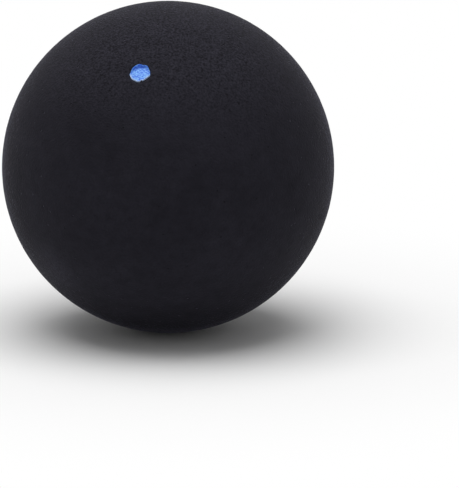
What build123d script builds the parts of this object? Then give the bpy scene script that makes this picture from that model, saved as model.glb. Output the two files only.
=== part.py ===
"""A hollow rubber squash ball, modelled as its separate pieces.

The ball is two moulded rubber half shells, butted rim to rim and held by a film of rubber cement.
One half has a dimple at its pole, lined with blue paint, which marks the ball's speed.
The other half carries a printed hatch of white ink.

Lengths are millimetres and angles are degrees.
The origin is the ball's centre, +Z is up and -Y is the front, which the dot faces.
Round pieces are drawn in the mould frame first: its +Z runs from the centre through the dot.
"""

import math
import os

from build123d import *

# The ball: a standard size, with the wall that gives it its standard mass.
BALL_DIAMETER = 40.0
WALL = 5.2

# The cemented seam between the two rims.
CEMENT_FILM = 0.12
CEMENT_BEAD_RADIUS = 0.6

# The dimple at the pole of the dot half, and the paint that lines it.
DIMPLE_MOUTH_DIAMETER = 2.8
DIMPLE_FLOOR_DIAMETER = 2.2
DIMPLE_DEPTH = 0.45
DIMPLE_LIP_RADIUS = 0.1
PAINT_FILM = 0.08
PAINT_EDGE_DROP = 0.08

# The printed hatch on the other half: a row of equal slanted bars of ink.
HATCH_BARS = 12
HATCH_PITCH = 2.6
HATCH_BAR_WIDTH = 1.5
HATCH_BAR_HEIGHT = 3.6
HATCH_BAR_LEAN = 20.0
INK_FILM = 0.04

# Where the marks face: turned from the front towards +X, and raised above the horizon.
DOT_AZIMUTH = -13.5
DOT_ELEVATION = 45.0
HATCH_AZIMUTH = 180.0
HATCH_ELEVATION = 20.0

# Compounded rubber, in grams per cubic millimetre, for the printed mass.
RUBBER_DENSITY = 0.0012

BALL_RADIUS = BALL_DIAMETER / 2
CAVITY_RADIUS = BALL_RADIUS - WALL
RIM_HEIGHT = CEMENT_FILM / 2
MOUTH_RADIUS = DIMPLE_MOUTH_DIAMETER / 2
FLOOR_RADIUS = DIMPLE_FLOOR_DIAMETER / 2

# Heights in the mould frame, and how far the dimple's wall runs out for each millimetre it rises.
MOUTH_HEIGHT = math.sqrt(BALL_RADIUS**2 - MOUTH_RADIUS**2)
FLOOR_HEIGHT = MOUTH_HEIGHT - DIMPLE_DEPTH
WALL_RUN = (MOUTH_RADIUS - FLOOR_RADIUS) / DIMPLE_DEPTH


def frame_facing(azimuth, elevation):
    """A frame at the ball's centre: +Z faces that way, +X is level and +Y leans up the ball."""
    turn = math.radians(azimuth)
    rise = math.radians(elevation)
    facing = (
        math.sin(turn) * math.cos(rise),
        -math.cos(turn) * math.cos(rise),
        math.sin(rise),
    )
    level = (math.cos(turn), math.sin(turn), 0)
    return Plane(origin=(0, 0, 0), x_dir=level, z_dir=facing)


def lathe(section):
    """The solid that a flat section sweeps when it turns about the mould axis."""
    return revolve(Plane.XZ * section, axis=Axis.Z)


def half_shell():
    """One moulded half, pole up, with its rim resting on the cement film."""
    wall = Circle(BALL_RADIUS) - Circle(CAVITY_RADIUS)
    quarter = Pos(0, RIM_HEIGHT) * Rectangle(BALL_DIAMETER, BALL_DIAMETER, align=Align.MIN)
    return lathe(wall & quarter)


def dimple():
    """The shape that the mould's pin leaves at the pole: a flat floor inside a sloping wall."""
    top = MOUTH_HEIGHT + DIMPLE_DEPTH
    section = Polygon(
        (0, FLOOR_HEIGHT),
        (FLOOR_RADIUS, FLOOR_HEIGHT),
        (MOUTH_RADIUS + WALL_RUN * DIMPLE_DEPTH, top),
        (0, top),
        align=None,
    )
    return lathe(section)


def dot_half_shell():
    """The half with the dimple, its mouth rounded to a soft lip."""
    shell = half_shell() - dimple()
    mouth = shell.edges().filter_by(GeomType.CIRCLE).sort_by(
        lambda edge: abs(edge.radius - MOUTH_RADIUS)
    )[0]
    return fillet(mouth, DIMPLE_LIP_RADIUS)


def plain_half_shell():
    """The other half, pole down."""
    return Rot(X=180) * half_shell()


def seam_cement():
    """The cured film between the rims, flush outside, with the bead squeezed out inside."""
    film_start = CAVITY_RADIUS - CEMENT_BEAD_RADIUS / 2
    strip = Rectangle(BALL_RADIUS, CEMENT_FILM, align=(Align.MIN, Align.CENTER))
    film = (Pos(film_start, 0) * strip) & Circle(BALL_RADIUS)
    bead = (Pos(CAVITY_RADIUS, 0) * Circle(CEMENT_BEAD_RADIUS)) & Circle(CAVITY_RADIUS)
    return lathe(film + bead)


def speed_dot():
    """The paint that lines the dimple's floor and its wall, up to just below the lip.

    The film is as thick on the wall as on the floor, so measured level it is thicker there.
    """
    edge_height = MOUTH_HEIGHT - PAINT_EDGE_DROP
    edge_radius = MOUTH_RADIUS - WALL_RUN * PAINT_EDGE_DROP
    level_film = PAINT_FILM * math.hypot(1, WALL_RUN)
    dish_height = FLOOR_HEIGHT + PAINT_FILM
    dish_radius = FLOOR_RADIUS + WALL_RUN * PAINT_FILM - level_film
    section = Polygon(
        (0, FLOOR_HEIGHT),
        (FLOOR_RADIUS, FLOOR_HEIGHT),
        (edge_radius, edge_height),
        (edge_radius - level_film, edge_height),
        (dish_radius, dish_height),
        (0, dish_height),
        align=None,
    )
    return lathe(section)


def printed_hatch():
    """The row of slanted ink bars, each a thin film that lies on the ball."""
    film = Sphere(BALL_RADIUS + INK_FILM) - Sphere(BALL_RADIUS)
    lean = HATCH_BAR_HEIGHT / 2 * math.tan(math.radians(HATCH_BAR_LEAN))
    half_width = HATCH_BAR_WIDTH / 2
    half_height = HATCH_BAR_HEIGHT / 2
    outline = Polygon(
        (-half_width - lean, -half_height),
        (half_width - lean, -half_height),
        (half_width + lean, half_height),
        (-half_width + lean, half_height),
        align=None,
    )
    bar = extrude(outline, BALL_DIAMETER) & film
    step = math.degrees(HATCH_PITCH / BALL_RADIUS)
    first = -step * (HATCH_BARS - 1) / 2
    return Compound([Rot(Y=first + step * index) * bar for index in range(HATCH_BARS)])


def make_parts():
    """Every piece of the ball, by name, in its place."""
    mould = frame_facing(DOT_AZIMUTH, DOT_ELEVATION).location
    back = frame_facing(HATCH_AZIMUTH, HATCH_ELEVATION).location
    return {
        "dot_half_shell": mould * dot_half_shell(),
        "plain_half_shell": mould * plain_half_shell(),
        "seam_cement": mould * seam_cement(),
        "speed_dot": mould * speed_dot(),
        "printed_hatch": back * printed_hatch(),
    }


def main():
    os.makedirs("parts", exist_ok=True)
    mass = 0.0
    for name, piece in make_parts().items():
        piece.label = name
        export_step(piece, f"parts/{name}.step")
        mass += piece.volume * RUBBER_DENSITY
        print(f"{name}: {len(piece.solids())} solids, {piece.volume:.3f} mm3")
    print(f"ball: {mass:.2f} g")


main()
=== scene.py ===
# %% [markdown]
# A squash ball, as a lesson in cells.
# The real ball is two moulded rubber cups, cemented rim to rim and then buffed matt all over.
# A blue dot in a small dimple tells players how lively it is, and the far side carries a print.
# Each piece is made where the CAD model has it, in metres, with the ball's centre as the origin.

# %% Load the frame
import math

import bpy
from mathutils import Color, Matrix, Vector


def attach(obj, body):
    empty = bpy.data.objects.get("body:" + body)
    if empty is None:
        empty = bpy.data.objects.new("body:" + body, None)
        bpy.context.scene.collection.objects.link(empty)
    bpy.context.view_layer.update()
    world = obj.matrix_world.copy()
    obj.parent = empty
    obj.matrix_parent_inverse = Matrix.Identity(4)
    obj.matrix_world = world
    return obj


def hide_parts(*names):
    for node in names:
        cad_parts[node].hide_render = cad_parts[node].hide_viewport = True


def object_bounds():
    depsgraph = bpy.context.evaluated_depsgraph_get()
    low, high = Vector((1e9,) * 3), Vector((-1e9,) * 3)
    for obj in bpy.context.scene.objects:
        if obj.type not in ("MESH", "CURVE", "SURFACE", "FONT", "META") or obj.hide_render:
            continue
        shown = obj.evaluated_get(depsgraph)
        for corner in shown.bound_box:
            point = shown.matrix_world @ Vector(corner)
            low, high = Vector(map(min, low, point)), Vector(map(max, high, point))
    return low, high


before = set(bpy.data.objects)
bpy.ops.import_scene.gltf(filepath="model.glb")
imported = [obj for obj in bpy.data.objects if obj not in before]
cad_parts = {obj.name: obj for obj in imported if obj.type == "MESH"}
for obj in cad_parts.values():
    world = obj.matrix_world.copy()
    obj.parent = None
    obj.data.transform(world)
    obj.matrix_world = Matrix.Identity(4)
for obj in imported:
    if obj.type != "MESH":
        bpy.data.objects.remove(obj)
cad_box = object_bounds()
print("CAD pieces:", sorted(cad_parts))

# %% [markdown]
# Sizes come first, each written once.
# They repeat the CAD model's own values, so that every piece made here fits the space of its solid.

# %% Sizes of the ball
MM = 0.001
BALL_RADIUS = 20.0 * MM
CAVITY_RADIUS = 14.8 * MM
CEMENT_FILM = 0.12 * MM
CEMENT_BEAD = 0.6 * MM
MOUTH_RADIUS = 1.4 * MM
FLOOR_RADIUS = 1.1 * MM
DIMPLE_DEPTH = 0.45 * MM
DOT_AZIMUTH = -13.5
DOT_ELEVATION = 45.0
HATCH_AZIMUTH = 180.0
HATCH_ELEVATION = 20.0
print("ball across:", 2 * BALL_RADIUS / MM, "mm")

# %% [markdown]
# Shapes and finishes are node trees, and a node tree can be drawn by hand or written as code.
# Written plainly, every sum takes a node and two links, which is hard to read.
# So what a node gives is wrapped here, and plus, minus, times and divide add the Math nodes.


# %% What a node gives
class Output:
    """What one output of a node gives. Arithmetic with it adds Math nodes to the same tree."""

    def __init__(self, tree, socket):
        self.tree = tree
        self.socket = socket

    def __add__(self, other):
        return self.tree.calc("ADD", self, other)

    def __radd__(self, other):
        return self.tree.calc("ADD", other, self)

    def __sub__(self, other):
        return self.tree.calc("SUBTRACT", self, other)

    def __rsub__(self, other):
        return self.tree.calc("SUBTRACT", other, self)

    def __mul__(self, other):
        return self.tree.calc("MULTIPLY", self, other)

    def __truediv__(self, other):
        return self.tree.calc("DIVIDE", self, other)

    def __rtruediv__(self, other):
        return self.tree.calc("DIVIDE", other, self)

    def __neg__(self):
        return self * -1.0


print("outputs of nodes can be added, multiplied and so on")

# %% [markdown]
# The tree itself gets one short method for each kind of node that this ball needs often.
# A value that comes from a node is linked, and any other value is simply set.

# %% Node trees as code
NOISE_MIDDLE = 0.5


class Tree:
    """A node tree that is written as code: each call adds one node."""

    def __init__(self, node_tree):
        self.node_tree = node_tree

    def connect(self, socket, value):
        """Links a socket to what another node gives, or sets it to a plain value."""
        if isinstance(value, Output):
            self.node_tree.links.new(value.socket, socket)
        else:
            socket.default_value = value

    def add(self, kind, inputs=None, gives=0, **settings):
        """Adds a node with those settings and inputs. Returns one output, or several by name."""
        node = self.node_tree.nodes.new(kind)
        for name, setting in settings.items():
            setattr(node, name, setting)
        for place, value in (inputs or {}).items():
            self.connect(node.inputs[place], value)
        if isinstance(gives, list):
            return [Output(self, node.outputs[name]) for name in gives]
        return Output(self, node.outputs[gives])

    def calc(self, operation, *values):
        """One step of arithmetic, on plain numbers or on numbers that vary from place to place."""
        return self.add("ShaderNodeMath", dict(enumerate(values)), operation=operation)

    def vector(self, operation, *values, gives="Vector"):
        """One step of arithmetic on vectors."""
        return self.add("ShaderNodeVectorMath", dict(enumerate(values)), gives, operation=operation)

    def split(self, vector, parts):
        """The named parts of a vector, such as XY or Z."""
        return self.add("ShaderNodeSeparateXYZ", {0: vector}, gives=list(parts))

    def combine(self, x, y, z):
        """A vector from its three parts."""
        return self.add("ShaderNodeCombineXYZ", {"X": x, "Y": y, "Z": z})

    def remap(self, value, start, end, new_start, new_end, kind="LINEAR"):
        """Carries a value from one range to another, and holds it at the ends."""
        inputs = {
            "Value": value,
            "From Min": start,
            "From Max": end,
            "To Min": new_start,
            "To Max": new_end,
        }
        return self.add("ShaderNodeMapRange", inputs, interpolation_type=kind)

    def ramp(self, value, start, end):
        """Goes smoothly from 0 to 1 while a value goes from start to end."""
        return self.remap(value, start, end, 0.0, 1.0, kind="SMOOTHSTEP")

    def noise(self, place, size, detail=1.0, roughness=0.5, seed=0.0):
        """Cloudy noise from 0 to 1, with blobs of about that size. The seed picks another cloud."""
        inputs = {
            "Vector": place,
            "W": seed,
            "Scale": 1.0 / size,
            "Detail": detail,
            "Roughness": roughness,
        }
        return self.add("ShaderNodeTexNoise", inputs, noise_dimensions="4D")


print("node trees can be written as code")

# %% [markdown]
# Colours are easiest to read off a screen, as numbers from 0 to 255, but shaders work in linear
# light. A helper turns the one into the other.
# A finish is then a material whose tree reads places on the ball, so its pattern stays put.

# %% Finishes
SCREEN_WHITE = 255


def screen_colour(*levels):
    """Red, green and blue as a screen shows them, as the linear colour that a shader takes."""
    screen = Color([level / SCREEN_WHITE for level in levels])
    return (*screen.from_srgb_to_scene_linear(), 1.0)


class Finish(Tree):
    """A procedural material: a tree that reads places on the ball and ends in one shader."""

    def __init__(self, name):
        self.material = bpy.data.materials.new(name)
        self.material.use_nodes = True
        super().__init__(self.material.node_tree)
        self.shader = self.node_tree.nodes["Principled BSDF"]
        self.place = self.add("ShaderNodeTexCoord", gives="Object")

    def tones(self, factor, first, second):
        """A colour that goes from the first tone to the second.

        A Mix node has sockets for every kind of value. Its colours are inputs 6 and 7 and output 2.
        """
        inputs = {0: factor, 6: first, 7: second}
        return self.add("ShaderNodeMix", inputs, gives=2, data_type="RGBA")

    def bump(self, height, relief):
        """The way the surface faces once a height from 0 to 1 has raised it by up to the relief."""
        return self.add("ShaderNodeBump", {"Height": height, "Distance": relief, "Strength": 1.0})

    def shade(self, inputs):
        """Sets the shader's sockets, each to a plain value or to what a node gives."""
        for name, value in inputs.items():
            self.connect(self.shader.inputs[name], value)
        print("finish:", self.material.name)


print("a screen's middle grey in linear light:", round(screen_colour(128, 128, 128)[0], 3))

# %% [markdown]
# The rubber is black, and buffing leaves it matt, with a fine even grain and a few pinholes.
# A flat dark colour looks like a hole in a picture, so tone, gloss and bump follow the grain.
# One noise alone looks printed, with all its blobs alike, so a coarse and a fine one are mixed.

# %% Grain of the rubber
GRAIN_SIZE = 0.26 * MM
FINE_GRAIN_SIZE = 0.16 * MM
COARSE_SHARE = 0.65
PINHOLE_SPACING = 1.5 * MM
PINHOLE_RADIUS = 0.14 * MM

rubber = Finish("buffed_rubber")
coarse = rubber.noise(rubber.place, GRAIN_SIZE)
fine = rubber.noise(rubber.place, FINE_GRAIN_SIZE, seed=3.0)
pinholes = {"Vector": rubber.place, "Scale": 1 / PINHOLE_SPACING}
to_pinhole = rubber.add("ShaderNodeTexVoronoi", pinholes) * PINHOLE_SPACING
unpitted = rubber.remap(to_pinhole, PINHOLE_RADIUS / 2, PINHOLE_RADIUS, 0.0, 1.0)
grain = (coarse * COARSE_SHARE + fine * (1 - COARSE_SHARE)) * unpitted
print("grain of", GRAIN_SIZE / MM, "mm, with a pinhole about every", PINHOLE_SPACING / MM, "mm")

# %% [markdown]
# A ball that has been handled is no even black. A pale haze lies over it in clouds. Two paler
# patches of painted light are added to it, for light that falls from low at the sides: plainly low
# on the left, and faintly on the right.
# The haze is a number that varies over the ball: a wide noise, and round each painted patch a soft
# hill, whose edge the same noise makes ragged.


# %% Haze and painted patches of light
def direction(azimuth, elevation):
    """The way that a place on the ball faces: turned from the front towards +X, and raised."""
    turn = math.radians(azimuth)
    rise = math.radians(elevation)
    level = math.cos(rise)
    return Vector((math.sin(turn) * level, -math.cos(turn) * level, math.sin(rise)))


CLOUD_SIZE = 8.0 * MM
CLOUD_RANGE = (0.35, 0.65)
HAZE_RANGE = (0.015, 0.13)
# The two paler patches low on the left and right are painted light, not wear.
LIT_PATCH_LEFT = direction(azimuth=-51, elevation=-32)
LIT_PATCH_RIGHT = direction(azimuth=56, elevation=-20)
LIT_PATCH_RADIUS = 6.0 * MM
LEFT_PAINTED_LIGHT = 0.36
RIGHT_PAINTED_LIGHT = 0.05

clouds = rubber.noise(rubber.place, CLOUD_SIZE, detail=3.0, seed=5.5)
haze_and_painted_light = rubber.remap(clouds, *CLOUD_RANGE, *HAZE_RANGE)
for lit_patch, extra in ((LIT_PATCH_LEFT, LEFT_PAINTED_LIGHT), (LIT_PATCH_RIGHT, RIGHT_PAINTED_LIGHT)):
    away = rubber.vector("DISTANCE", rubber.place, lit_patch * BALL_RADIUS, gives="Value")
    ragged = away + (clouds - NOISE_MIDDLE) * CLOUD_SIZE
    haze_and_painted_light = haze_and_painted_light + rubber.ramp(ragged, LIT_PATCH_RADIUS, 0.0) * extra
print("clouds of haze about", CLOUD_SIZE / MM, "mm wide")

# %% [markdown]
# Pale dust sits on the tips of the grain, and more in the haze and the painted patches of light.
# It is made as contrast: the grain is stretched, so the tips turn grey and the hollows stay black.
# On the upper side the stretch is larger and the tone is lifted a little. That is painted light,
# for the top that the softbox lights and whose grain it shows up.

# %% Dust on the grain, and painted light on top
# On the upper side, the grain's extra stretch and the lifted tone are painted light from above.
LIT_TOP_START = 0.38 * BALL_RADIUS
LIT_TOP_FULL = 0.95 * BALL_RADIUS
LOW_DUST = 0.15
TOP_DUST_AND_LIGHT = 4.0
HAZE_DUST = 5.0
TOP_PAINTED_LIGHT = 0.1
MOTTLE_SIZE = 1.1 * MM
MOTTLE = 0.33
PLAIN_TONE = 0.25

[height] = rubber.split(rubber.place, "Z")
lit_top = rubber.remap(height, LIT_TOP_START, LIT_TOP_FULL, 0.0, 1.0)
dust_and_painted_light = LOW_DUST + lit_top * (TOP_DUST_AND_LIGHT - LOW_DUST) + haze_and_painted_light * HAZE_DUST
mottle = rubber.noise(rubber.place, MOTTLE_SIZE, detail=2.0, seed=13.0)
tone_and_top_light = PLAIN_TONE + lit_top * TOP_PAINTED_LIGHT
scuffs_and_painted_light = tone_and_top_light + (grain - NOISE_MIDDLE) * dust_and_painted_light + (mottle - NOISE_MIDDLE) * MOTTLE
print("dust stretches the grain up to", TOP_DUST_AND_LIGHT, "times on top, and more in the haze")

# %% [markdown]
# Buffing also raises a short nap, which lifts the tone close to the outline, where the surface
# turns away, as on velvet. The shader's sheen does just that, and a low sheen roughness keeps it
# narrow. The cement in the seam is buffed too, so the nap is kept for both.
# Haze, scuffs and painted light together then pick a tone between two greys, both a little violet.

# %% Buffed rubber
HAZE_TINT = (0.76, 0.745, 1.0, 1.0)
buffed_nap = {
    "Specular IOR Level": 0.1,
    "Specular Tint": HAZE_TINT,
    "Sheen Weight": 0.25,
    "Sheen Roughness": 0.1,
    "Sheen Tint": HAZE_TINT,
}
DEEP_BLACK = screen_colour(12, 11, 14)
DUST_GREY = screen_colour(50, 49, 57)
NOISE_RANGE = (0.3, 0.7)
GRAIN_ROUGHNESS = (0.7, 0.86)
GRAIN_RELIEF = 0.15 * MM

# The base colour mixes real haze, dust and grain with painted light on top and in two patches.
rubber.shade(
    buffed_nap
    | {
        "Base Color": rubber.tones(scuffs_and_painted_light + haze_and_painted_light, DEEP_BLACK, DUST_GREY),
        "Roughness": rubber.remap(grain, *NOISE_RANGE, *GRAIN_ROUGHNESS),
        "Normal": rubber.bump(grain, GRAIN_RELIEF),
    }
)

# %% [markdown]
# Shapes are Geometry Nodes trees, called recipes here.
# A recipe has named inputs for its sizes, so one recipe can make several pieces, and a small recipe
# can be used inside a larger one.
# Recipes that make a whole piece also take the way that it faces and its finish.


# %% Recipes
class Recipe(Tree):
    """A Geometry Nodes tree with named inputs and one result."""

    def __init__(
        self, name, numbers, counts=(), meshes=(), piece=False, gives="NodeSocketGeometry"
    ):
        super().__init__(bpy.data.node_groups.new(name, "GeometryNodeTree"))
        kinds = {
            "NodeSocketGeometry": meshes,
            "NodeSocketInt": counts,
            "NodeSocketFloat": numbers,
            "NodeSocketVector": ["Facing"] if piece else [],
            "NodeSocketMaterial": ["Finish"] if piece else [],
        }
        labels = {label: kind for kind, group in kinds.items() for label in group}
        for label, kind in labels.items():
            self.node_tree.interface.new_socket(label, in_out="INPUT", socket_type=kind)
        self.node_tree.interface.new_socket("Result", in_out="OUTPUT", socket_type=gives)
        entry = self.node_tree.nodes.new("NodeGroupInput")
        self.given = {label: Output(self, entry.outputs[label]) for label in labels}
        self.result = self.node_tree.nodes.new("NodeGroupOutput").inputs[0]

    def use(self, recipe, inputs):
        """Runs a smaller recipe inside this one."""
        return self.add("GeometryNodeGroup", inputs, node_tree=recipe.node_tree)

    def place(self):
        """Where each point is."""
        return self.add("GeometryNodeInputPosition")

    def from_axis(self):
        """How far each point lies from the mould axis, which is Z."""
        level = self.vector("MULTIPLY", self.place(), (1, 1, 0))
        return self.vector("LENGTH", level, gives="Value")

    def moved(self, mesh, place):
        """The mesh with each point at a new place."""
        return self.add("GeometryNodeSetPosition", {"Geometry": mesh, "Position": place})

    def pushed(self, mesh, distance):
        """The mesh with each point pushed away from the ball's centre."""
        outward = self.vector("NORMALIZE", self.place())
        inputs = {0: outward, "Scale": distance}
        offset = self.add("ShaderNodeVectorMath", inputs, operation="SCALE")
        return self.add("GeometryNodeSetPosition", {"Geometry": mesh, "Offset": offset})

    def faced(self, mesh):
        """The mesh turned from the mould frame to where it faces on the ball."""
        inputs = {"Geometry": mesh, "Rotation": self.given["Facing"]}
        return self.add("GeometryNodeTransform", inputs)

    def ends_in(self, value):
        """Ends a small recipe."""
        self.connect(self.result, value)
        print("recipe:", self.node_tree.name)

    def makes(self, mesh):
        """Ends the recipe of a piece: smooth faces, no instances left, and one material."""
        smooth = self.add("GeometryNodeSetShadeSmooth", {"Geometry": mesh})
        real = self.add("GeometryNodeRealizeInstances", {"Geometry": smooth})
        inputs = {"Geometry": real, "Material": self.given["Finish"]}
        self.ends_in(self.add("GeometryNodeSetMaterial", inputs))


print("recipes can be written as code")

# %% [markdown]
# A moulded cup is a shape turned about an axis, so its mesh can be a grid that is rolled up:
# one direction of the grid runs round the axis and the other along the profile.
# A Screw modifier would do as well, but with nodes the profile stays a recipe that numbers drive.
# This first recipe makes one band of a profile, between two angles from the pole and two radii.

# %% Recipe for a turned band
GRID_SIDE = 1.0
GRID_ENDS = (-GRID_SIDE / 2, GRID_SIDE / 2)

turned_band = Recipe(
    "turned_band",
    counts=["Segments", "Rings"],
    numbers=["From Angle", "To Angle", "From Radius", "To Radius"],
)
given = turned_band.given
grid = {
    "Vertices X": given["Segments"] + 1,
    "Vertices Y": given["Rings"] + 1,
    "Size X": GRID_SIDE,
    "Size Y": GRID_SIDE,
}
flat_band = turned_band.add("GeometryNodeMeshGrid", grid)
across, along = turned_band.split(turned_band.place(), "XY")
turn = math.pi - across * (2 * math.pi / GRID_SIDE)
angle = turned_band.remap(along, *GRID_ENDS, given["From Angle"], given["To Angle"])
radius = turned_band.remap(along, *GRID_ENDS, given["From Radius"], given["To Radius"])
reach = radius * turned_band.calc("SINE", angle)
rolled = turned_band.combine(
    reach * turned_band.calc("COSINE", turn),
    reach * turned_band.calc("SINE", turn),
    radius * turned_band.calc("COSINE", angle),
)
turned_band.ends_in(turned_band.moved(flat_band, rolled))

# %% [markdown]
# Bands are turned one by one and then joined.
# The join merges points that coincide, which closes the seam of each rolled grid, its poles and the
# edges between two bands.

# %% Turning and joining bands
MERGE_DISTANCE = 0.0001 * MM


def turned(recipe, segments, rings, angles, radii):
    """One band of a turned profile, from the first angle and radius to the second."""
    inputs = {
        "Segments": segments,
        "Rings": rings,
        "From Angle": angles[0],
        "To Angle": angles[1],
        "From Radius": radii[0],
        "To Radius": radii[1],
    }
    return recipe.use(turned_band, inputs)


def joined(recipe, bands):
    """All the bands as one closed mesh."""
    join = recipe.node_tree.nodes.new("GeometryNodeJoinGeometry")
    for band in bands:
        recipe.connect(join.inputs[0], band)
    inputs = {"Geometry": Output(recipe, join.outputs[0]), "Distance": MERGE_DISTANCE}
    return recipe.add("GeometryNodeMergeByDistance", inputs)


print("bands closer than", MERGE_DISTANCE / MM, "mm are joined")

# %% [markdown]
# The dimple has a flat floor and a steep wall that ends in a soft lip.
# The rubber and the paint that lines it need the same curve, so it is a small recipe of its own.

# %% Recipe for the dimple's depth
DIMPLE_INPUTS = ["Floor Radius", "Mouth Radius", "Dimple Depth"]

dimple_curve = Recipe(
    "dimple_curve",
    numbers=["Distance", *DIMPLE_INPUTS],
    gives="NodeSocketFloat",
)
given = dimple_curve.given
floor, mouth, depth = [given[name] for name in DIMPLE_INPUTS]
sunk = dimple_curve.remap(given["Distance"], floor, mouth, depth, 0.0, kind="SMOOTHSTEP")
dimple_curve.ends_in(sunk)


def dimple_depth(recipe, distance):
    """How deep the dimple is at a distance from its axis, by the recipe's own inputs for it."""
    sizes = {name: recipe.given[name] for name in DIMPLE_INPUTS}
    return recipe.use(dimple_curve, {"Distance": distance} | sizes)


# %% [markdown]
# Buffing gives the outside a fine relief, and it runs on over the seam and under the print.
# So it is one recipe too, which reads places on the finished ball: pieces that meet get the same
# relief. It works only on what lies at the ball's own radius, because the buffing wheel doesn't
# reach into the dimple.

# %% Recipe for the buffed relief
buffed = Recipe(
    "buffed",
    meshes=["Mesh"],
    numbers=["Ball Radius", "Wheel Reach", "Relief", "Relief Size", "Relief Seed"],
)
given = buffed.given
height = buffed.vector("LENGTH", buffed.place(), gives="Value")
wheel_end = given["Ball Radius"] - given["Wheel Reach"]
touched = buffed.remap(height, wheel_end, given["Ball Radius"], 0.0, 1.0)
relief = buffed.noise(buffed.place(), given["Relief Size"], detail=2.0, seed=given["Relief Seed"])
raised = (relief - NOISE_MIDDLE) * given["Relief"] * touched
buffed.ends_in(buffed.pushed(given["Mesh"], raised))

BUFFING = {
    "Ball Radius": BALL_RADIUS,
    "Wheel Reach": 0.2 * MM,
    "Relief": 0.04 * MM,
    "Relief Size": 0.8 * MM,
    "Relief Seed": 11.0,
}

# %% [markdown]
# One half of the ball is four bands: a fine one at the pole, the rest of the outside,
# the flat rim that takes the cement, and the inside of the cup.
# The outside then gets the dimple, and last the buffed relief.
# The relief is real geometry here, and the bump of the finish only adds what is finer.

# %% Recipe for a moulded half
moulded_half = Recipe(
    "moulded_half",
    counts=["Segments", "Pole Rings", "Wall Rings", "Cavity Rings"],
    numbers=["Ball Radius", "Cavity Radius", "Rim Height", "Pole Arc", *DIMPLE_INPUTS],
    piece=True,
)
given = moulded_half.given
outer, inner, around = given["Ball Radius"], given["Cavity Radius"], given["Segments"]
pole_angle = given["Pole Arc"] / outer
rim_angle = moulded_half.calc("ARCCOSINE", given["Rim Height"] / outer)
lip_angle = moulded_half.calc("ARCCOSINE", given["Rim Height"] / inner)
cup = joined(
    moulded_half,
    [
        turned(moulded_half, around, given["Pole Rings"], (0.0, pole_angle), (outer, outer)),
        turned(moulded_half, around, given["Wall Rings"], (pole_angle, rim_angle), (outer, outer)),
        turned(moulded_half, around, 1, (rim_angle, lip_angle), (outer, inner)),
        turned(moulded_half, around, given["Cavity Rings"], (lip_angle, 0.0), (inner, inner)),
    ],
)
sunk = dimple_depth(moulded_half, moulded_half.from_axis())
height = moulded_half.vector("LENGTH", moulded_half.place(), gives="Value")
outside = moulded_half.calc("GREATER_THAN", height, (outer + inner) / 2)
dimpled = moulded_half.faced(moulded_half.pushed(cup, -sunk * outside))
moulded_half.makes(moulded_half.use(buffed, BUFFING | {"Mesh": dimpled}))

# %% [markdown]
# A recipe becomes a piece in three steps: it runs on an empty object, its result is copied into a
# plain mesh, and the object that ran it goes.
# What is left rides on the ball's one body and stands for its CAD node.

# %% Baking a recipe into a piece
SHARP_ANGLE = math.radians(35)


def facing(azimuth, elevation):
    """The turn that carries +Z to a direction: round from the front towards +X, and up."""
    out = direction(azimuth, elevation)
    level = direction(azimuth + 90, 0)
    return Matrix((level, out.cross(level), out)).transposed().to_euler()


def bake(name, recipe, finish, turn, sizes):
    """Runs a recipe with those sizes, turned that way, and keeps its result as a mesh object."""
    runner = bpy.data.objects.new(name + "_recipe", bpy.data.meshes.new(name + "_recipe"))
    bpy.context.scene.collection.objects.link(runner)
    modifier = runner.modifiers.new("recipe", "NODES")
    modifier.node_group = recipe.node_tree
    for label, value in ({"Finish": finish.material, "Facing": turn} | sizes).items():
        modifier[recipe.node_tree.interface.items_tree[label].identifier] = value
    depsgraph = bpy.context.evaluated_depsgraph_get()
    mesh = bpy.data.meshes.new_from_object(runner.evaluated_get(depsgraph))
    mesh.name = name
    mesh.set_sharp_from_angle(angle=SHARP_ANGLE)
    bpy.data.objects.remove(runner)
    piece = bpy.data.objects.new(name, mesh)
    bpy.context.scene.collection.objects.link(piece)
    triangles = sum(len(face.vertices) - 2 for face in mesh.polygons)
    print("piece:", name, len(mesh.vertices), "points,", triangles, "triangles")
    return piece


def stand_for(piece, node):
    """The piece rides on the ball and hides the CAD node."""
    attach(piece, "root")
    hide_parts(node)


print("edges over", round(math.degrees(SHARP_ANGLE)), "degrees stay sharp")

# %% [markdown]
# Both halves come from the one recipe. They face opposite ways, and only one has a dimple.

# %% The two halves
SEGMENTS = 500
dimpled_ball = {
    "Ball Radius": BALL_RADIUS,
    "Floor Radius": FLOOR_RADIUS,
    "Mouth Radius": MOUTH_RADIUS,
    "Dimple Depth": DIMPLE_DEPTH,
}
half_sizes = dimpled_ball | {
    "Cavity Radius": CAVITY_RADIUS,
    "Rim Height": CEMENT_FILM / 2,
    "Pole Arc": 1.8 * MM,
    "Segments": SEGMENTS,
    "Pole Rings": 44,
    "Wall Rings": 120,
    "Cavity Rings": 24,
}
to_dot = facing(DOT_AZIMUTH, DOT_ELEVATION)
from_dot = facing(DOT_AZIMUTH + 180, -DOT_ELEVATION)
dot_half = bake("dot_half", moulded_half, rubber, to_dot, half_sizes)
stand_for(dot_half, "dot_half_shell")
plain_half = bake("plain_half", moulded_half, rubber, from_dot, half_sizes | {"Dimple Depth": 0.0})
stand_for(plain_half, "plain_half_shell")

# %% [markdown]
# Between the rims lies a film of rubber cement, and a bead of it is squeezed out into the cavity.
# Outside it was buffed flush with the ball, so all that shows is a hairline round the middle.
# Cured cement is rubber too. It is about as dark as the halves but has no grain, only faint
# patches where it ran.

# %% Cured cement
PATCH_SIZE = 1.6 * MM
DARK_CEMENT = screen_colour(18, 17, 21)
PALE_CEMENT = screen_colour(32, 30, 36)
CEMENT_ROUGHNESS = (0.6, 0.74)

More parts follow.
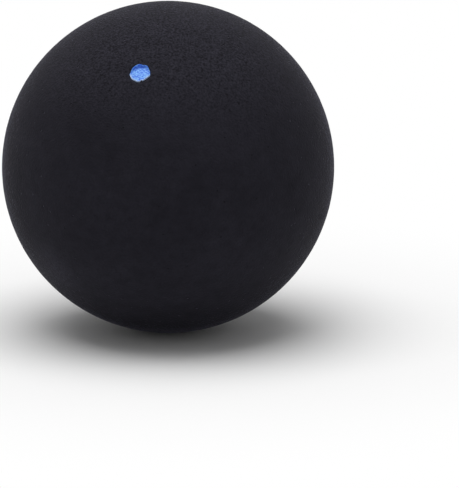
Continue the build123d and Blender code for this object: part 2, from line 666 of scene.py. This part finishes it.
cement = Finish("cured_cement")
patches = cement.noise(cement.place, PATCH_SIZE, detail=2.0, seed=21.0)
cement.shade(
    buffed_nap
    | {
        "Base Color": cement.tones(patches, DARK_CEMENT, PALE_CEMENT),
        "Roughness": cement.remap(patches, *NOISE_RANGE, *CEMENT_ROUGHNESS),
    }
)

# %% [markdown]
# The cement is turned like the halves, in six bands: outside, two faces that lie on the rims,
# two short steps, and the bead, which bulges inwards as a round fillet does.
# More cement is squeezed out in some places than in others, so a noise takes part of the bulge
# away. A torus would give the bead alone. As bands, film and bead are one closed ring.


# %% Recipe for the cement ring
def angles_at(recipe, height, radius):
    """The angles from the pole, above and below the seam, of points at that height and radius."""
    above = recipe.calc("ARCCOSINE", height / radius)
    return above, math.pi - above


# Rounding can leave a hair of bulge at the bead's edge. This takes it off, so the edge still joins.
FEATHER = 0.003 * MM

cement_ring = Recipe(
    "cement_ring",
    counts=["Segments", "Bead Rings"],
    numbers=[
        "Ball Radius",
        "Cavity Radius",
        "Film",
        "Bead Radius",
        "Bead Loss",
        "Loss Size",
        "Seed",
    ],
    piece=True,
)
given = cement_ring.given
outer, inner, around = given["Ball Radius"], given["Cavity Radius"], given["Segments"]
top_outside, low_outside = angles_at(cement_ring, given["Film"] / 2, outer)
top_inside, low_inside = angles_at(cement_ring, given["Film"] / 2, inner)
top_bead, low_bead = angles_at(cement_ring, given["Bead Radius"], inner)
[height] = cement_ring.split(cement_ring.place(), "Z")
spare = given["Bead Radius"] * given["Bead Radius"] - height * height - FEATHER * FEATHER
round_bulge = cement_ring.calc("SQRT", cement_ring.calc("MAXIMUM", spare, 0.0))
loss = cement_ring.noise(cement_ring.place(), given["Loss Size"], seed=given["Seed"])
bulge = round_bulge * (1.0 - loss * given["Bead Loss"])
bead = turned(cement_ring, around, given["Bead Rings"], (low_bead, top_bead), (inner, inner))
ring = joined(
    cement_ring,
    [
        turned(cement_ring, around, 1, (top_outside, low_outside), (outer, outer)),
        turned(cement_ring, around, 1, (low_outside, low_inside), (outer, inner)),
        turned(cement_ring, around, 1, (low_inside, low_bead), (inner, inner)),
        cement_ring.pushed(bead, -bulge),
        turned(cement_ring, around, 1, (top_bead, top_inside), (inner, inner)),
        turned(cement_ring, around, 1, (top_inside, top_outside), (inner, outer)),
    ],
)
cement_ring.makes(cement_ring.use(buffed, BUFFING | {"Mesh": cement_ring.faced(ring)}))

# %% [markdown]
# The ring has as many segments as the halves, so that their edges meet point to point.

# %% The cement ring
seam_sizes = {
    "Ball Radius": BALL_RADIUS,
    "Cavity Radius": CAVITY_RADIUS,
    "Film": CEMENT_FILM,
    "Bead Radius": CEMENT_BEAD,
    "Bead Loss": 0.4,
    "Loss Size": 3.0 * MM,
    "Seed": 61.0,
    "Segments": SEGMENTS,
    "Bead Rings": 16,
}
cement_seam = bake("cement_seam", cement_ring, cement, to_dot, seam_sizes)
stand_for(cement_seam, "seam_cement")

# %% [markdown]
# The speed dot is a drop of blue paint, dabbed into the dimple by hand.
# It is pale where it lies thick. Palest is the ridge at its lower edge, a real ridge that also gets
# a painted highlight. On the upper wall of the dimple it is deep blue: the paint is thinner there,
# and the wall's shade is painted on it. The recipe that lays the paint knows how thick it is, and
# stores where it is thin and where the ridge is on the mesh for this finish.
# A painted picture of the dot would fix one look. This way the tones follow the paint's own shape.

# %% Dabbed paint
SMEAR_SIZE = 0.2 * MM
SMEAR_RANGE = (0.4, 0.6)
SMEAR_RELIEF = 0.03 * MM
STRONG_BLUE = screen_colour(48, 108, 230)
PALE_BLUE = screen_colour(136, 194, 255)
# Piled blue is a painted highlight on the ridge at the dot's lower edge.
PILED_HIGHLIGHT_BLUE = screen_colour(192, 216, 255)
# The thin blues are painted shade on the dimple's upper wall, where the paint is also thinner.
SHADED_THIN_DEEP_BLUE = screen_colour(36, 86, 205)
SHADED_THIN_PALE_BLUE = screen_colour(80, 134, 224)
PAINT_ROUGHNESS = (0.4, 0.6)

paint = Finish("dabbed_paint")
smears = paint.noise(paint.place, SMEAR_SIZE, detail=3.0, roughness=0.6, seed=31.0)
thin_and_shaded = paint.add("ShaderNodeAttribute", gives="Fac", attribute_name="thin_and_shaded")
ridge_and_highlight = paint.add("ShaderNodeAttribute", gives="Fac", attribute_name="ridge_and_highlight")
streaks = paint.remap(smears, *SMEAR_RANGE, 0.0, 1.0)
body = paint.tones(streaks, STRONG_BLUE, PALE_BLUE)
piled_and_lit = paint.tones(ridge_and_highlight, body, PILED_HIGHLIGHT_BLUE)
thinned_and_shaded = paint.tones(streaks, SHADED_THIN_DEEP_BLUE, SHADED_THIN_PALE_BLUE)
paint.shade(
    {
        "Base Color": paint.tones(thin_and_shaded, piled_and_lit, thinned_and_shaded),
        "Roughness": paint.remap(smears, *NOISE_RANGE, *PAINT_ROUGHNESS),
        "Specular IOR Level": 0.35,
        "Normal": paint.bump(smears, SMEAR_RELIEF),
    }
)

# %% [markdown]
# The paint is a thin film that follows the dimple's own curve, over the floor and up the wall.
# Its edge wanders, two sides low down are flatter, and a small nick is missing between them.
# It has run down a little while wet, so it is thin on the upper wall and piles up in a ridge below.


# %% Recipe for the paint in the dimple
def dip(recipe, turn, name):
    """How far the edge draws in round one direction, by the named inputs for it."""
    given = recipe.given
    off_centre = recipe.calc("ABSOLUTE", turn - given[name + " Turn"]) / given[name + " Width"]
    return recipe.ramp(off_centre, 1.0, 0.0) * given[name + " Depth"]


def noted(recipe, mesh, name, value):
    """The mesh with a value stored on its points, which a finish can read by name."""
    inputs = {"Geometry": mesh, "Name": name, "Value": value}
    return recipe.add("GeometryNodeStoreNamedAttribute", inputs, data_type="FLOAT", domain="POINT")


dabbed_dot = Recipe(
    "dabbed_dot",
    counts=["Segments", "Rings"],
    numbers=[
        "Ball Radius",
        *DIMPLE_INPUTS,
        "Dot Radius",
        "Shift Across",
        "Shift Up",
        "Edge Wander",
        "Wander Size",
        "Right Flat Turn",
        "Right Flat Width",
        "Right Flat Depth",
        "Left Flat Turn",
        "Left Flat Width",
        "Left Flat Depth",
        "Nick Turn",
        "Nick Width",
        "Nick Depth",
        "Film",
        "Sink",
        "Ridge Height",
        "Lump Height",
        "Lump Size",
        "Seed",
    ],
    piece=True,
)
given = dabbed_dot.given
outer = given["Ball Radius"]
edge_angle = given["Dot Radius"] / outer
edge_radius = outer * dabbed_dot.calc("SINE", edge_angle)
x, y = dabbed_dot.split(dabbed_dot.place(), "XY")
heading = dabbed_dot.vector("NORMALIZE", dabbed_dot.combine(x, y, 0.0))
wander = dabbed_dot.noise(heading, given["Wander Size"], seed=given["Seed"]) - NOISE_MIDDLE
turn = dabbed_dot.calc("ARCTAN2", y, x)
flats = dip(dabbed_dot, turn, "Right Flat") + dip(dabbed_dot, turn, "Left Flat")
drawn_in = flats + dip(dabbed_dot, turn, "Nick")
stretch = 1.0 + wander * given["Edge Wander"] - drawn_in
across = x * stretch + given["Shift Across"]
upward = y * stretch + given["Shift Up"]
reach = dabbed_dot.calc("SQRT", across * across + upward * upward)
ball_height = dabbed_dot.calc("SQRT", outer * outer - reach * reach)
rubber_height = ball_height - dimple_depth(dabbed_dot, reach)
print("the paint's edge wanders, and its underside follows the dimple")

# %% [markdown]
# How thick the paint is depends on where it lies: how far out, as a share of the dot's radius,
# and how far uphill. The two amounts that the finish reads are worked out here: the thin place,
# which the finish also darkens as painted shade of the upper wall, and the ridge, which it also
# lightens as a painted highlight.
# The thin place leans to the left. It stops short of the edge, because paint dries thicker there.
# The same round cap then makes both faces: one on the rubber, and one lifted by the film.

# %% How thick the paint lies
WALL_SHARES = (0.55, 0.85)
THIN_AND_SHADED_UPHILL = (0.4, 0.7)
THIN_AND_SHADED_LEAN = 0.3
RIM_SHARES = (0.86, 0.95)
RIM_COVER = 0.7
CREST_SHARES = (0.78, 0.9)
RIDGE_DOWNHILL = (0.05, -0.3)
EDGE_START = 0.9
EDGE_ROUNDING = 0.03
THIN_LOSS = 0.4
LUMP_WANDER = 0.5

share = dabbed_dot.from_axis() / edge_radius
uphill = y / edge_radius
cloud = dabbed_dot.noise(dabbed_dot.place(), given["Lump Size"], detail=2.0, seed=given["Seed"])
lumps = cloud - NOISE_MIDDLE
on_wall = dabbed_dot.ramp(share + lumps * LUMP_WANDER, *WALL_SHARES)
rim = dabbed_dot.ramp(share, *RIM_SHARES)
# Where the paint is thin on the upper wall, the finish also paints the wall's shade.
run_off_and_shade = dabbed_dot.ramp(uphill - x / edge_radius * THIN_AND_SHADED_LEAN, *THIN_AND_SHADED_UPHILL)
thin_and_shaded = on_wall * run_off_and_shade * (1.0 - rim * RIM_COVER)
downhill = dabbed_dot.ramp(uphill, *RIDGE_DOWNHILL)
# The ridge is real geometry, and the finish also gives it a painted highlight.
ridge_and_highlight = dabbed_dot.ramp(share, *CREST_SHARES) * downhill
film = given["Film"] * (1.0 - thin_and_shaded * THIN_LOSS)
lumpy_film = film + lumps * given["Lump Height"] * (1.0 - thin_and_shaded) + ridge_and_highlight * given["Ridge Height"]
edge_start = EDGE_START - downhill * EDGE_ROUNDING
upper_face = dabbed_dot.remap(share, edge_start, 1.0, lumpy_film, -given["Sink"], kind="SMOOTHSTEP")


def laid(band, lift):
    """The band with its edge wandering, laid on the dimple's rubber and lifted off it."""
    return dabbed_dot.moved(band, dabbed_dot.combine(across, upward, rubber_height + lift))


around, rings = given["Segments"], given["Rings"]
upper_band = turned(dabbed_dot, around, rings, (0.0, edge_angle), (outer, outer))
upper_band = noted(dabbed_dot, noted(dabbed_dot, upper_band, "thin_and_shaded", thin_and_shaded), "ridge_and_highlight", ridge_and_highlight)
lower_band = turned(dabbed_dot, around, rings, (edge_angle, 0.0), (outer, outer))
both = joined(dabbed_dot, [laid(upper_band, upper_face), laid(lower_band, -given["Sink"])])
dabbed_dot.makes(dabbed_dot.faced(both))

# %% [markdown]
# The dot's own sizes: a little narrower than the dimple's mouth, and some hundredths of
# a millimetre thick.

# %% The speed dot
dot_sizes = dimpled_ball | {
    "Dot Radius": 1.26 * MM,
    "Shift Across": -0.02 * MM,
    "Shift Up": 0.15 * MM,
    "Edge Wander": 0.22,
    "Wander Size": 0.6,
    "Right Flat Turn": math.radians(-52),
    "Right Flat Width": math.radians(78),
    "Right Flat Depth": 0.21,
    "Left Flat Turn": math.radians(-130),
    "Left Flat Width": math.radians(35),
    "Left Flat Depth": 0.08,
    "Nick Turn": math.radians(-74),
    "Nick Width": math.radians(11),
    "Nick Depth": 0.17,
    "Film": 0.07 * MM,
    "Sink": 0.02 * MM,
    "Ridge Height": 0.035 * MM,
    "Lump Height": 0.06 * MM,
    "Lump Size": 0.4 * MM,
    "Segments": 200,
    "Rings": 56,
    "Seed": 152.0,
}
speed_dot_paint = bake("speed_dot_paint", dabbed_dot, paint, to_dot, dot_sizes)
stand_for(speed_dot_paint, "speed_dot")

# %% [markdown]
# The far side carries a print in white ink, here a plain hatch of slanted bars.
# Ink pressed on a grained surface leaves out its lowest spots, so it is speckled and uneven.

# %% White ink
SPECKLE_SIZE = 0.16 * MM
WEAR_SIZE = 2.2 * MM
WEAR_SHARE = 0.25
COVER_RANGE = (0.46, 0.56)
MISSED_GREY = screen_colour(70, 70, 74)
INK_WHITE = screen_colour(226, 226, 230)
INK_ROUGHNESS = (0.55, 0.75)

ink = Finish("white_ink")
speckles = ink.noise(ink.place, SPECKLE_SIZE, detail=3.0, roughness=0.6, seed=41.0)
wear = ink.noise(ink.place, WEAR_SIZE, detail=2.0, seed=43.0)
cover = ink.remap(speckles + wear * WEAR_SHARE, *COVER_RANGE, 0.0, 1.0)
ink.shade(
    {
        "Base Color": ink.tones(cover, MISSED_GREY, INK_WHITE),
        "Roughness": ink.remap(speckles, *NOISE_RANGE, *INK_ROUGHNESS),
        "Specular IOR Level": 0.25,
    }
)

# %% [markdown]
# One bar repeated along a line is a job for instances. The row is made flat and then bent round
# the ball, which keeps the bars equal, and the edges get a little wander, because a printed edge
# is no ruled line.

# %% Recipe for the hatch
bent_hatch = Recipe(
    "bent_hatch",
    counts=["Bars", "Points Across", "Points Up"],
    numbers=[
        "Ball Radius",
        "Pitch",
        "Bar Width",
        "Bar Height",
        "Lean",
        "Film",
        "Sink",
        "Edge Wander",
        "Wander Size",
        "Seed",
    ],
    piece=True,
)
given = bent_hatch.given
thickness = given["Film"] + given["Sink"]
bar_inputs = {
    "Size": bent_hatch.combine(given["Bar Width"], given["Bar Height"], thickness),
    "Vertices X": given["Points Across"],
    "Vertices Y": given["Points Up"],
    "Vertices Z": 2,
}
bar = bent_hatch.add("GeometryNodeMeshCube", bar_inputs)
row_inputs = {
    "Count": given["Bars"],
    "Start Location": bent_hatch.combine((1 - given["Bars"]) / 2 * given["Pitch"], 0.0, 0.0),
    "Offset": bent_hatch.combine(given["Pitch"], 0.0, 0.0),
}
row = bent_hatch.add("GeometryNodeMeshLine", row_inputs)
bars = bent_hatch.add("GeometryNodeInstanceOnPoints", {"Points": row, "Instance": bar})
flat_row = bent_hatch.add("GeometryNodeRealizeInstances", {"Geometry": bars})


def wandering(value, seed):
    """A coordinate with a little wander."""
    cloud = bent_hatch.noise(bent_hatch.place(), given["Wander Size"], detail=2.0, seed=seed)
    return value + (cloud - NOISE_MIDDLE) * given["Edge Wander"]


x, y, z = bent_hatch.split(bent_hatch.place(), "XYZ")
across = wandering(x + y * bent_hatch.calc("TANGENT", given["Lean"]), given["Seed"])
upward = wandering(y, given["Seed"] + 1)
round_angle = across / given["Ball Radius"]
rise_angle = bent_hatch.calc("ARCSINE", upward / given["Ball Radius"])
radius = given["Ball Radius"] + (given["Film"] - given["Sink"]) / 2 + z
level = radius * bent_hatch.calc("COSINE", rise_angle)
bent = bent_hatch.combine(
    level * bent_hatch.calc("SINE", round_angle),
    radius * bent_hatch.calc("SINE", rise_angle),
    level * bent_hatch.calc("COSINE", round_angle),
)
bent_row = bent_hatch.faced(bent_hatch.moved(flat_row, bent))
bent_hatch.makes(bent_hatch.use(buffed, BUFFING | {"Mesh": bent_row}))

# %% [markdown]
# Twelve bars fill about the width that a print takes on such a ball.

# %% The printed hatch
hatch_sizes = {
    "Ball Radius": BALL_RADIUS,
    "Bars": 12,
    "Pitch": 2.6 * MM,
    "Bar Width": 1.5 * MM,
    "Bar Height": 3.6 * MM,
    "Lean": math.radians(20),
    "Film": 0.03 * MM,
    "Sink": 0.03 * MM,
    "Points Across": 16,
    "Points Up": 38,
    "Edge Wander": 0.12 * MM,
    "Wander Size": 0.4 * MM,
    "Seed": 51.0,
}
to_hatch = facing(HATCH_AZIMUTH, HATCH_ELEVATION)
printed_hatch_ink = bake("printed_hatch_ink", bent_hatch, ink, to_hatch, hatch_sizes)
stand_for(printed_hatch_ink, "printed_hatch")

# %% [markdown]
# A picture of a black ball wants a white tent: soft light from all round and a white sheet below.
# The light stays at a plain level, at which a colour looks as it is written.
# So the white of the background is not made with more light. Rays from the camera, and rays that
# reflections send on, simply find the tent white.

# %% Tent
TENT_LIGHT = 0.36
TENT_WHITE = 1.0


def rays_that_see(tree):
    """1 for a ray from the camera, or one that a reflection or clear material sends on, else 0."""
    kinds = ["Is Camera Ray", "Is Glossy Ray", "Is Transmission Ray"]
    camera_ray, glossy_ray, sent_on_ray = tree.add("ShaderNodeLightPath", gives=kinds)
    return tree.calc("MAXIMUM", camera_ray, tree.calc("MAXIMUM", glossy_ray, sent_on_ray))


world = bpy.data.worlds.new("tent")
world.use_nodes = True
bpy.context.scene.world = world
tent = Tree(world.node_tree)
background = world.node_tree.nodes["Background"].inputs
tent.connect(background["Color"], (1, 1, 1, 1))
tent.connect(background["Strength"], tent.remap(rays_that_see(tent), 0, 1, TENT_LIGHT, TENT_WHITE))
print("tent light:", TENT_LIGHT)

# %% [markdown]
# The ball rests on a white sheet. Near the ball it is plain paper and keeps the soft shadow.
# A little way off, where the shadow has faded, it turns to the tent's white, so no horizon shows.
# Seen from below it is clear, so that the ball's underside can be looked at too.

# %% White sheet
SHEET_REACH = 3.0
SHEET_DROP = 0.03 * MM
SHADOW_START = 24 * MM
SHADOW_END = 70 * MM
PAPER_WHITE = (0.94, 0.94, 0.94, 1.0)

sheet_height = cad_box[0][2] - SHEET_DROP
corner_signs = [(-1, -1), (1, -1), (1, 1), (-1, 1)]
corners = [(x * SHEET_REACH, y * SHEET_REACH, sheet_height) for x, y in corner_signs]
sheet_mesh = bpy.data.meshes.new("white_sheet")
sheet_mesh.from_pydata(corners, [], [(0, 1, 2, 3)])
white_sheet = bpy.data.objects.new("white_sheet", sheet_mesh)
bpy.context.scene.collection.objects.link(white_sheet)

paper = Finish("paper")
paper.shade({"Base Color": PAPER_WHITE, "Roughness": 0.9, "Specular IOR Level": 0.1})
from_ball = paper.vector("LENGTH", paper.place, gives="Value")
faded = paper.ramp(from_ball, SHADOW_START, SHADOW_END)
plain = Output(paper, paper.shader.outputs[0])
white = paper.add("ShaderNodeEmission", {"Strength": TENT_WHITE})
above = paper.add("ShaderNodeMixShader", {0: faded * rays_that_see(paper), 1: plain, 2: white})
below = paper.add("ShaderNodeBsdfTransparent")
underside = paper.add("ShaderNodeNewGeometry", gives="Backfacing")
one_sided = paper.add("ShaderNodeMixShader", {0: underside, 1: above, 2: below})
paper.connect(paper.node_tree.nodes["Material Output"].inputs["Surface"], one_sided)
sheet_mesh.materials.append(paper.material)
print("sheet at", round(sheet_height / MM, 2), "mm")

# %% [markdown]
# One softbox hangs over the ball, a little to the left and towards the camera.
# It gives the round form its lighter top, and the tent fills the rest.

# %% Softbox
SOFTBOX_PLACE = Vector((-0.06, -0.05, 0.9))
SOFTBOX_SIZE = 0.9
SOFTBOX_WATTS = 7.3

softbox = bpy.data.objects.new("softbox", bpy.data.lights.new("softbox", "AREA"))
softbox.data.shape = "SQUARE"
softbox.data.size = SOFTBOX_SIZE
softbox.data.energy = SOFTBOX_WATTS
softbox.location = SOFTBOX_PLACE
softbox.rotation_euler = SOFTBOX_PLACE.to_track_quat("Z", "Y").to_euler()
bpy.context.scene.collection.objects.link(softbox)
print("softbox:", SOFTBOX_WATTS, "W,", SOFTBOX_SIZE, "m square")

# %% [markdown]
# The camera looks down a little and from far off, as with a long lens, so the outline stays
# a circle. In the photograph the ball is not in the middle, so the camera turns to a point right
# of it and below.

# %% Camera
CAMERA_DISTANCE = 0.6
CAMERA_ELEVATION = math.radians(12.0)
LENS = 367.4
AIM_RIGHT = 7.365 * MM
AIM_DOWN = 9.30 * MM

toward_camera = Vector((0, -math.cos(CAMERA_ELEVATION), math.sin(CAMERA_ELEVATION)))
picture_right = Vector((1, 0, 0))
picture_up = toward_camera.cross(picture_right)
camera = bpy.data.objects.new("camera", bpy.data.cameras.new("camera"))
camera.data.lens = LENS
camera.location = toward_camera * CAMERA_DISTANCE
aim = picture_right * AIM_RIGHT - picture_up * AIM_DOWN
camera.rotation_euler = (camera.location - aim).to_track_quat("Z", "Y").to_euler()
bpy.context.scene.collection.objects.link(camera)
bpy.context.scene.camera = camera
bpy.context.scene.view_settings.view_transform = "Standard"
print("camera at", [round(value, 4) for value in camera.location])
